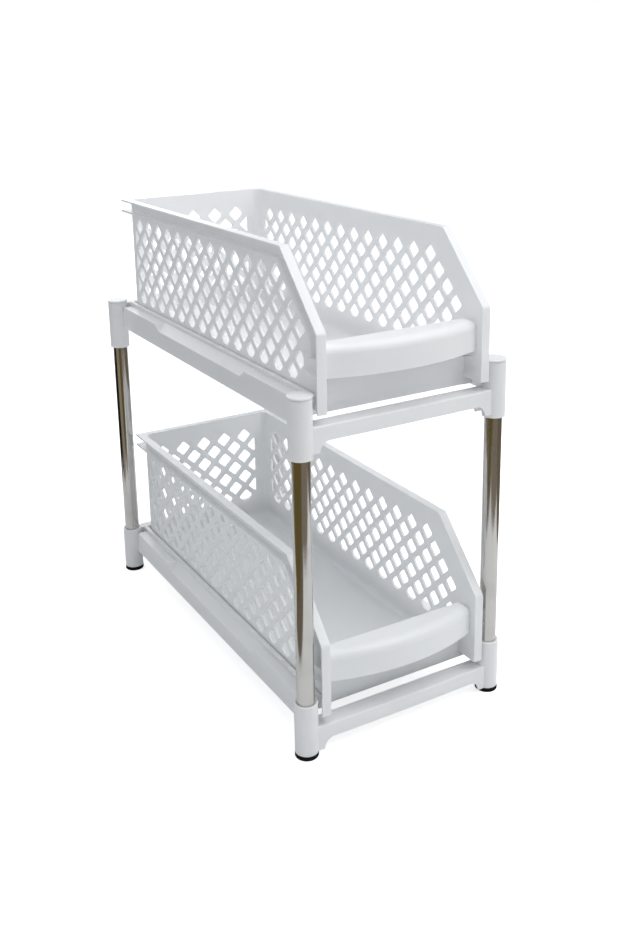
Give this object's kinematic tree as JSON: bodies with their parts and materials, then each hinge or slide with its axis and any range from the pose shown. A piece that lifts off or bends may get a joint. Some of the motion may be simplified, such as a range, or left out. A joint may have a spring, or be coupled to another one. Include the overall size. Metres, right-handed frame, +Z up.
{
  "type": "under sink organizer",
  "caption": "Free-standing two-tier rack of white moulded frames on metal tubes, with netted open-front baskets that slide out by hooded handles.",
  "frame": {"origin": "on the floor, under the middle of the whole object", "axes": "+X to the object's right, +Y to its back (the baskets pull out towards -Y), +Z up"},
  "size_m": [0.2206, 0.4428, 0.4424],
  "materials": {
    "frame_plastic": "white, satin to gloss",
    "basket_plastic": "white, satin to gloss",
    "cap_plastic": "white, satin to gloss",
    "tube_metal": "polished",
    "foot_rubber": "matt black"
  },
  "bodies": {
    "rack": {"upper_frame": "frame_plastic", "lower_frame": "frame_plastic", "front_left_tube": "tube_metal", "front_right_tube": "tube_metal", "back_left_tube": "tube_metal", "back_right_tube": "tube_metal", "front_left_cap": "cap_plastic", "front_right_cap": "cap_plastic", "back_left_cap": "cap_plastic", "back_right_cap": "cap_plastic", "front_left_foot": "foot_rubber", "front_right_foot": "foot_rubber", "back_left_foot": "foot_rubber", "back_right_foot": "foot_rubber"},
    "upper_basket": {"upper_basket": "basket_plastic"},
    "lower_basket": {"lower_basket": "basket_plastic"}
  },
  "joints": [
    {"name": "upper_basket_slide", "type": "slide", "parent": "rack", "child": "upper_basket", "axis": [0, -1, 0], "range_m": [0, 0.25]},
    {"name": "lower_basket_slide", "type": "slide", "parent": "rack", "child": "lower_basket", "axis": [0, -1, 0], "range_m": [0, 0.25]}
  ]
}
